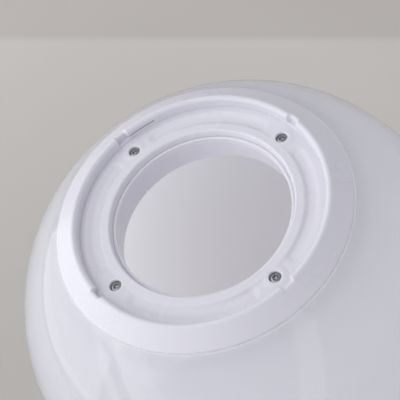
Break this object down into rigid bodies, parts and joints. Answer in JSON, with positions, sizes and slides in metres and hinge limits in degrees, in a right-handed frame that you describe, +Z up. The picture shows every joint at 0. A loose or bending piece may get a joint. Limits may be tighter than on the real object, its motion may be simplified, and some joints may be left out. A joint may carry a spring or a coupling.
{
  "type": "ceiling light",
  "caption": "Balloon-shaped white opal shade with a screwed-on twist-lock collar, shown lowered from its round ceiling base with lampholder and bulb.",
  "frame": {"origin": "centre of the ceiling strap's upper face, where the base meets the ceiling", "axes": "+Z up through the middle of the base, collar and shade, into the ceiling; +X along the strap"},
  "size_m": [0.25, 0.25, 0.6156],
  "materials": {
    "opal": "white opal, glossy, blow-moulded",
    "collar": "white, satin to gloss, moulded",
    "gasket": "matt grey",
    "foam": "matt closed-cell foam",
    "enamel": "white powder coat",
    "steel": "zinc plated",
    "brass": "plain",
    "aluminium": "satin",
    "phenolic": "satin white",
    "dark": "black",
    "nylon": "natural, slightly cloudy",
    "brown": "brown insulation",
    "blue": "blue insulation",
    "green": "green insulation"
  },
  "bodies": {
    "canopy": {"ceiling_strap": "steel", "ceiling_plate": "enamel", "nipple": "steel", "nipple_nut": "steel", "holder_cap": "phenolic", "holder_sleeve": "phenolic", "holder_insert": "phenolic", "screw_shell": "brass", "centre_contact": "brass", "terminal_block": "nylon", "block_screw": "steel", "earth_screw": "steel", "earth_tag": "steel", "line_wire": "brown", "neutral_wire": "blue", "earth_wire": "green", "canopy_screw_1": "steel", "canopy_washer_1": "steel", "canopy_screw_2": "steel", "canopy_washer_2": "steel", "terminal_screw_1": "brass", "terminal_screw_2": "brass", "terminal_screw_3": "brass"},
    "seal": {"dust_seal": "foam"},
    "shade": {"shade_shell": "opal", "collar": "collar", "neck_gasket": "gasket", "clamp_ring": "collar", "balloon_knot": "opal", "knot_retainer": "steel", "collar_screw_1": "steel", "collar_screw_2": "steel", "collar_screw_3": "steel", "collar_screw_4": "steel"},
    "bulb": {"bulb_contact": "steel", "bulb_insulator": "dark", "bulb_cap": "aluminium", "bulb_housing": "phenolic", "led_board": "aluminium", "bulb_globe": "opal"}
  },
  "joints": [
    {"name": "shade_twist", "type": "hinge", "parent": "canopy", "child": "seal", "pos_m": [0, 0, -0.0055], "axis": [0, 0, 1], "range_deg": [0, 15]},
    {"name": "shade_lift", "type": "slide", "parent": "seal", "child": "shade", "axis": [0, 0, 1], "range_m": [0, 0.32]},
    {"name": "bulb_draw", "type": "slide", "parent": "canopy", "child": "bulb", "axis": [0, 0, -1], "range_m": [0, 0.04]}
  ]
}
